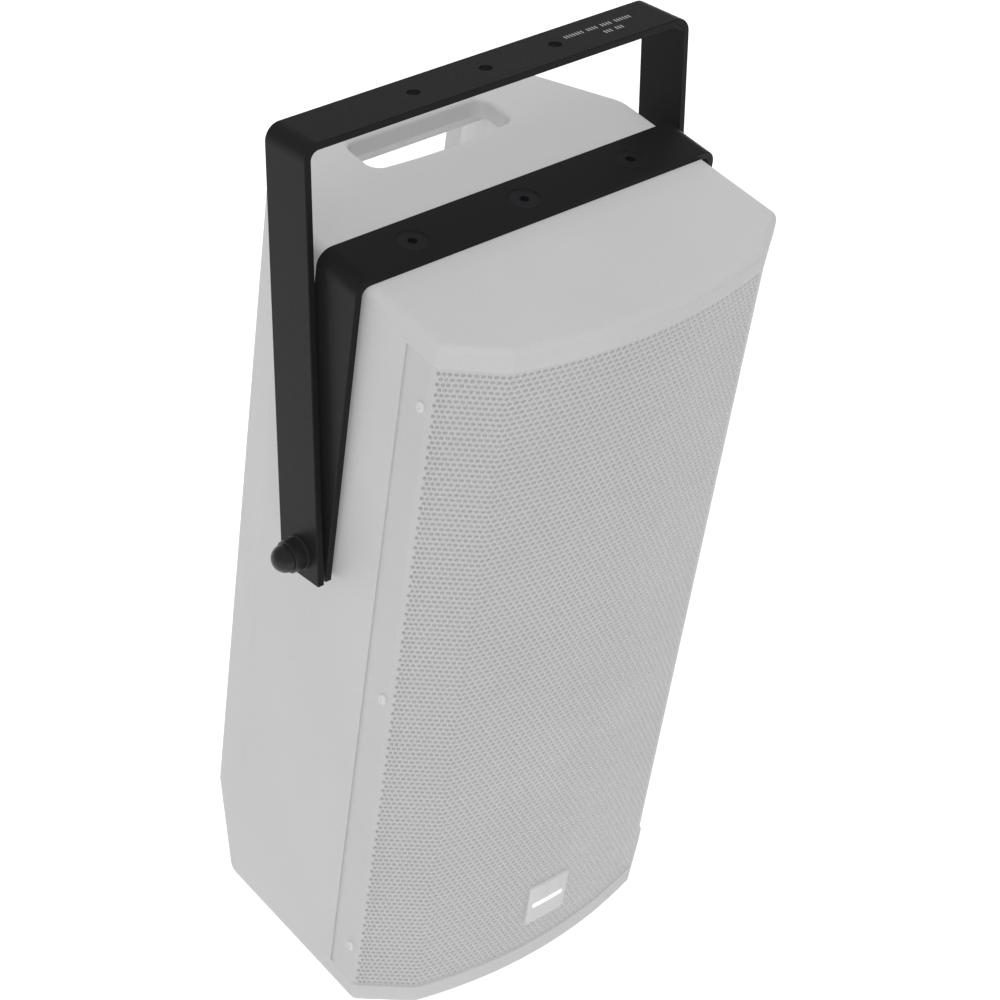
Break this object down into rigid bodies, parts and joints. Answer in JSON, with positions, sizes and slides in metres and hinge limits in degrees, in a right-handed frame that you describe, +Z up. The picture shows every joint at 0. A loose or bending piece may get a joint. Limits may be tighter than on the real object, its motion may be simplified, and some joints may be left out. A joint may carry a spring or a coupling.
{
  "type": "portable loudspeaker with yoke bracket",
  "caption": "Tall portable loudspeaker cabinet with a curved perforated grille, a carrying slot at the top rear and a black steel yoke that tilts on side pivots.",
  "frame": {"origin": "centre of the pole socket's mouth in the underside of the cabinet", "axes": "+X right, -Y towards the front grille, +Z up"},
  "size_m": [0.3532, 0.2781, 0.6772],
  "materials": {
    "cabinet_paint": "fine textured pale grey paint on plywood",
    "baffle_paint": "matt black paint on plywood",
    "bare_plywood": "unpainted plywood",
    "handle_moulding": "fine grained moulding",
    "grille_paint": "satin powder coat",
    "painted_screw": "head painted like the grille",
    "foam": "open-cell foam",
    "zinc_plate": "bright zinc plate",
    "badge_plastic": "satin",
    "badge_white": "plain white bar",
    "black_powder_coat": "satin black powder coat",
    "black_screw": "black oxide",
    "black_nylon": "moulded nylon",
    "black_cap": "semi-gloss moulding",
    "cast_basket": "black-stoved casting",
    "gasket": "pressed fibre and rubber",
    "surround_rubber": "butyl rubber",
    "spider_cloth": "resin-treated cloth",
    "motor_steel": "machined steel",
    "ferrite": "ground ferrite",
    "cone_paper": "coated paper pulp",
    "copper_coil": "enamelled copper wire",
    "black_abs": "moulded",
    "diaphragm_film": "thin formed foil",
    "damping_wool": "loose wadding",
    "foot_rubber": "moulded rubber",
    "socket_steel": "black painted steel",
    "input_plate": "matt black",
    "terminal_block": "moulded with steel screws",
    "board_laminate": "solder-masked laminate",
    "capacitor_case": "wrapped film",
    "resistor_cement": "cast cement",
    "cable_jacket": "PVC jacket"
  },
  "bodies": {
    "cabinet": {"top_panel": "cabinet_paint", "bottom_panel": "cabinet_paint", "left_side_panel": "cabinet_paint", "right_side_panel": "cabinet_paint", "left_rear_panel": "cabinet_paint", "right_rear_panel": "cabinet_paint", "rear_panel": "cabinet_paint", "front_baffle": "baffle_paint", "window_brace": "bare_plywood", "handle_pocket": "handle_moulding", "handle_grip": "handle_moulding", "grille": "grille_paint", "grille_foam": "foam", "grille_screws": "painted_screw", "badge_plate": "badge_plastic", "badge_mark": "badge_white", "mounting_bracket": "black_powder_coat", "bracket_screws": "black_screw", "threaded_inserts": "zinc_plate", "pivot_studs": "zinc_plate", "friction_washers": "black_nylon", "outer_washers": "black_nylon", "pivot_nuts": "zinc_plate", "nut_caps": "black_cap", "driver_baskets": "cast_basket", "driver_gaskets": "gasket", "surrounds": "surround_rubber", "spiders": "spider_cloth", "top_plates": "motor_steel", "magnets": "ferrite", "lf_pole_piece": "motor_steel", "coax_pole_piece": "motor_steel", "hf_waveguide": "black_abs", "hf_body": "cast_basket", "hf_magnet": "ferrite", "hf_cover": "black_abs", "driver_screws": "black_screw", "port_tubes": "black_abs", "damping_pads": "damping_wool", "rubber_feet": "foot_rubber", "bottom_screws": "zinc_plate", "pole_socket": "socket_steel", "input_panel": "input_plate", "input_panel_screws": "black_screw", "input_sockets": "black_abs", "barrier_strip": "terminal_block", "crossover_board": "board_laminate", "board_standoffs": "black_nylon", "inductors": "copper_coil", "capacitors": "capacitor_case", "resistors": "resistor_cement", "wiring_harness": "cable_jacket"},
    "yoke": {"yoke_strap": "black_powder_coat"},
    "lf_cone_assembly": {"lf_cone": "cone_paper", "lf_voice_coil": "copper_coil", "lf_dust_cap": "cone_paper"},
    "coax_cone_assembly": {"coax_cone": "cone_paper", "coax_voice_coil": "copper_coil"},
    "hf_diaphragm_assembly": {"hf_diaphragm": "diaphragm_film"}
  },
  "joints": [
    {"name": "yoke_tilt", "type": "hinge", "parent": "cabinet", "child": "yoke", "pos_m": [0, 0, 0.376], "axis": [1, 0, 0], "range_deg": [-130.1, 149.9]},
    {"name": "lf_cone_travel", "type": "slide", "parent": "cabinet", "child": "lf_cone_assembly", "axis": [0, -1, 0], "range_m": [-0.005, 0.005], "stiffness_N_per_m": 1500, "deforming": ["surrounds", "spiders"]},
    {"name": "coax_cone_travel", "type": "slide", "parent": "cabinet", "child": "coax_cone_assembly", "axis": [0, -1, 0], "range_m": [-0.005, 0.005], "stiffness_N_per_m": 1500, "deforming": ["surrounds", "spiders"]},
    {"name": "hf_diaphragm_travel", "type": "slide", "parent": "cabinet", "child": "hf_diaphragm_assembly", "axis": [0, -1, 0], "range_m": [-0.0003, 0.0003]}
  ]
}
